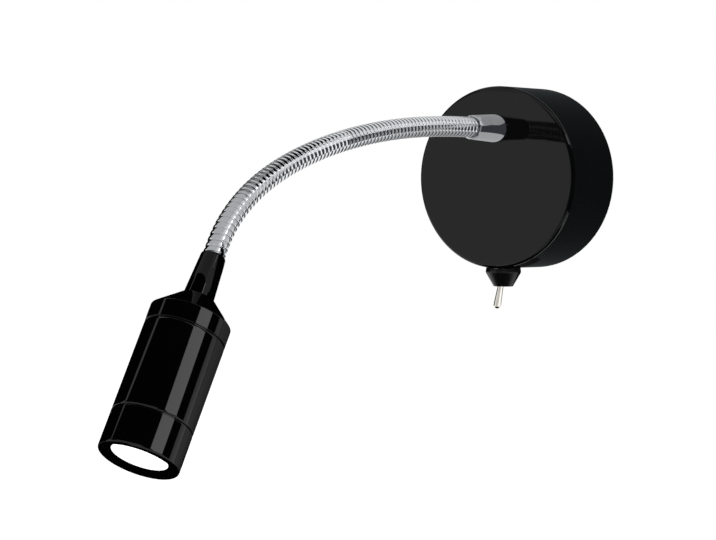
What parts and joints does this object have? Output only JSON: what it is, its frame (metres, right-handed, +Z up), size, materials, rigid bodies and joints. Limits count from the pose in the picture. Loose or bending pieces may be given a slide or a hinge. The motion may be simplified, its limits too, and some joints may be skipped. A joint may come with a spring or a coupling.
{
  "type": "wall reading lamp",
  "caption": "Wall reading lamp: round gloss-black wall box, chrome gooseneck, turned lamp head with a lit lens, and a toggle switch under the box.",
  "frame": {"origin": "centre of the wall box's back face, on the wall, between the two screw slots", "axes": "+Y into the wall, -Y out to the room, +Z up, +X to the right seen from the room"},
  "size_m": [0.08, 0.2901, 0.1548],
  "materials": {
    "gloss_black": "mirror-gloss black lacquer",
    "chrome": "bright chrome plate",
    "nickel": "bright nickel plate",
    "cap_black": "semi-gloss black",
    "zinc_steel": "bright zinc plate",
    "brass": "turned brass",
    "black_rubber": "matt rubber",
    "case_white": "fine-spark moulded",
    "block_white": "satin moulded",
    "switch_blue": "satin moulded",
    "board_white": "solder-masked board",
    "led_yellow": "phosphor",
    "lens_white": "frosted, lit",
    "mirror_cone": "metallised",
    "spreader_alloy": "turned",
    "lead_brown": "satin sleeve",
    "lead_blue": "satin sleeve",
    "lead_black": "satin sleeve",
    "lead_green": "green and yellow sleeve",
    "lead_clear": "grey twin sleeve"
  },
  "bodies": {
    "base": {"backing_nut": "nickel", "base_cover": "gloss_black", "cable_grommet": "black_rubber", "cover_screws": "zinc_steel", "driver_board": "board_white", "driver_case": "case_white", "earth_lead": "lead_green", "earth_screw": "zinc_steel", "earth_tag": "brass", "live_lead": "lead_brown", "module_screws": "zinc_steel", "neck_ferrule": "chrome", "neck_lead": "lead_clear", "neck_link_01": "chrome", "neck_nut": "zinc_steel", "neck_stud": "brass", "neck_washer": "zinc_steel", "neutral_lead": "lead_blue", "switch_body": "switch_blue", "switch_frame": "zinc_steel", "switch_terminals": "brass", "switched_lead": "lead_black", "terminal_block": "block_white", "terminal_clamps": "brass", "terminal_screws": "zinc_steel", "toggle_bushing": "nickel", "toggle_cap_nut": "cap_black", "toggle_pin": "nickel", "toggle_washer": "nickel", "wall_bracket": "zinc_steel"},
    "neck_02": {"neck_link_02": "chrome"},
    "neck_03": {"neck_link_03": "chrome"},
    "neck_04": {"neck_link_04": "chrome"},
    "neck_05": {"neck_link_05": "chrome"},
    "neck_06": {"neck_link_06": "chrome"},
    "neck_07": {"neck_link_07": "chrome"},
    "neck_08": {"neck_link_08": "chrome"},
    "neck_09": {"neck_link_09": "chrome"},
    "neck_10": {"neck_link_10": "chrome"},
    "neck_11": {"neck_link_11": "chrome"},
    "neck_12": {"neck_link_12": "chrome"},
    "neck_13": {"neck_link_13": "chrome"},
    "neck_14": {"neck_link_14": "chrome"},
    "neck_15": {"neck_link_15": "chrome"},
    "neck_16": {"neck_link_16": "chrome"},
    "neck_17": {"neck_link_17": "chrome"},
    "neck_18": {"neck_link_18": "chrome"},
    "head": {"head_cap": "gloss_black", "head_body": "gloss_black", "head_bezel": "gloss_black", "lens": "lens_white", "reflector": "mirror_cone", "led_board": "board_white", "led_emitter": "led_yellow", "board_screws": "zinc_steel", "heat_spreader": "spreader_alloy", "head_fitting": "brass", "head_lock_nut": "brass", "neck_link_19": "chrome"},
    "toggle": {"toggle_lever": "nickel"}
  },
  "joints": [
    {"name": "neck_lower_bend", "type": "hinge", "parent": "base", "child": "neck_02", "pos_m": [0, -0.06422, 0.0214], "axis": [1, 0, 0], "range_deg": [-13, 10], "deforming": ["neck_lead"]},
    {"name": "neck_lower_sway", "type": "hinge", "parent": "neck_02", "child": "neck_03", "pos_m": [0, -0.07444, 0.02126], "axis": [0, -0.0223, 0.9998], "range_deg": [-10, 10], "deforming": ["neck_lead"]},
    {"name": "neck_lower_bend_2", "type": "hinge", "parent": "neck_03", "child": "neck_04", "pos_m": [0, -0.08465, 0.02094], "axis": [1, 0, 0], "range_deg": [-13, 10], "deforming": ["neck_lead"]},
    {"name": "neck_lower_sway_2", "type": "hinge", "parent": "neck_04", "child": "neck_05", "pos_m": [0, -0.09486, 0.02042], "axis": [0, -0.0625, 0.998], "range_deg": [-10, 10], "deforming": ["neck_lead"]},
    {"name": "neck_lower_bend_3", "type": "hinge", "parent": "neck_05", "child": "neck_06", "pos_m": [0, -0.10505, 0.01967], "axis": [1, 0, 0], "range_deg": [-13, 10], "deforming": ["neck_lead"]},
    {"name": "neck_lower_sway_3", "type": "hinge", "parent": "neck_06", "child": "neck_07", "pos_m": [0, -0.11522, 0.01868], "axis": [0, -0.1091, 0.994], "range_deg": [-10, 10], "deforming": ["neck_lead"]},
    {"name": "neck_lower_bend_4", "type": "hinge", "parent": "neck_07", "child": "neck_08", "pos_m": [0, -0.12537, 0.01744], "axis": [1, 0, 0], "range_deg": [-13, 10], "deforming": ["neck_lead"]},
    {"name": "neck_lower_sway_4", "type": "hinge", "parent": "neck_08", "child": "neck_09", "pos_m": [0, -0.13548, 0.01593], "axis": [0, -0.1607, 0.987], "range_deg": [-10, 10], "deforming": ["neck_lead"]},
    {"name": "neck_lower_bend_5", "type": "hinge", "parent": "neck_09", "child": "neck_10", "pos_m": [0, -0.14554, 0.01415], "axis": [1, 0, 0], "range_deg": [-13, 10], "deforming": ["neck_lead"]},
    {"name": "neck_upper_sway", "type": "hinge", "parent": "neck_10", "child": "neck_11", "pos_m": [0, -0.15555, 0.01208], "axis": [0, -0.2193, 0.9757], "range_deg": [-10, 10], "deforming": ["neck_lead"]},
    {"name": "neck_upper_bend", "type": "hinge", "parent": "neck_11", "child": "neck_12", "pos_m": [0, -0.16548, 0.00967], "axis": [1, 0, 0], "range_deg": [-15, 6], "deforming": ["neck_lead"]},
    {"name": "neck_upper_sway_2", "type": "hinge", "parent": "neck_12", "child": "neck_13", "pos_m": [0, -0.17532, 0.0069], "axis": [0, -0.2925, 0.9563], "range_deg": [-10, 10], "deforming": ["neck_lead"]},
    {"name": "neck_upper_bend_2", "type": "hinge", "parent": "neck_13", "child": "neck_14", "pos_m": [0, -0.18502, 0.00369], "axis": [1, 0, 0], "range_deg": [-15, 6], "deforming": ["neck_lead"]},
    {"name": "neck_upper_sway_3", "type": "hinge", "parent": "neck_14", "child": "neck_15", "pos_m": [0, -0.19454, -0.00003], "axis": [0, -0.3972, 0.9177], "range_deg": [-10, 10], "deforming": ["neck_lead"]},
    {"name": "neck_upper_bend_3", "type": "hinge", "parent": "neck_15", "child": "neck_16", "pos_m": [0, -0.20377, -0.00442], "axis": [1, 0, 0], "range_deg": [-15, 6], "deforming": ["neck_lead"]},
    {"name": "neck_upper_sway_4", "type": "hinge", "parent": "neck_16", "child": "neck_17", "pos_m": [0, -0.21256, -0.00962], "axis": [0, -0.5609, 0.8279], "range_deg": [-10, 10], "deforming": ["neck_lead"]},
    {"name": "neck_upper_bend_4", "type": "hinge", "parent": "neck_17", "child": "neck_18", "pos_m": [0, -0.22066, -0.01586], "axis": [1, 0, 0], "range_deg": [-15, 6], "deforming": ["neck_lead"]},
    {"name": "neck_upper_sway_5", "type": "hinge", "parent": "neck_18", "child": "head", "pos_m": [0, -0.22764, -0.02333], "axis": [0, -0.801, 0.5987], "range_deg": [-10, 10], "deforming": ["neck_lead"]},
    {"name": "toggle_throw", "type": "hinge", "parent": "base", "child": "toggle", "pos_m": [0, -0.0265, -0.041], "axis": [0, -1, 0], "range_deg": [0, 22]}
  ],
  "couplings": [
    {"joint": "neck_lower_bend_2", "follows": "neck_lower_bend", "ratio": 1},
    {"joint": "neck_lower_sway_2", "follows": "neck_lower_sway", "ratio": 1},
    {"joint": "neck_lower_bend_3", "follows": "neck_lower_bend", "ratio": 1},
    {"joint": "neck_lower_sway_3", "follows": "neck_lower_sway", "ratio": 1},
    {"joint": "neck_lower_bend_4", "follows": "neck_lower_bend", "ratio": 1},
    {"joint": "neck_lower_sway_4", "follows": "neck_lower_sway", "ratio": 1},
    {"joint": "neck_lower_bend_5", "follows": "neck_lower_bend", "ratio": 1},
    {"joint": "neck_upper_sway_2", "follows": "neck_upper_sway", "ratio": 1},
    {"joint": "neck_upper_bend_2", "follows": "neck_upper_bend", "ratio": 1},
    {"joint": "neck_upper_sway_3", "follows": "neck_upper_sway", "ratio": 1},
    {"joint": "neck_upper_bend_3", "follows": "neck_upper_bend", "ratio": 1},
    {"joint": "neck_upper_sway_4", "follows": "neck_upper_sway", "ratio": 1},
    {"joint": "neck_upper_bend_4", "follows": "neck_upper_bend", "ratio": 1},
    {"joint": "neck_upper_sway_5", "follows": "neck_upper_sway", "ratio": 1}
  ]
}
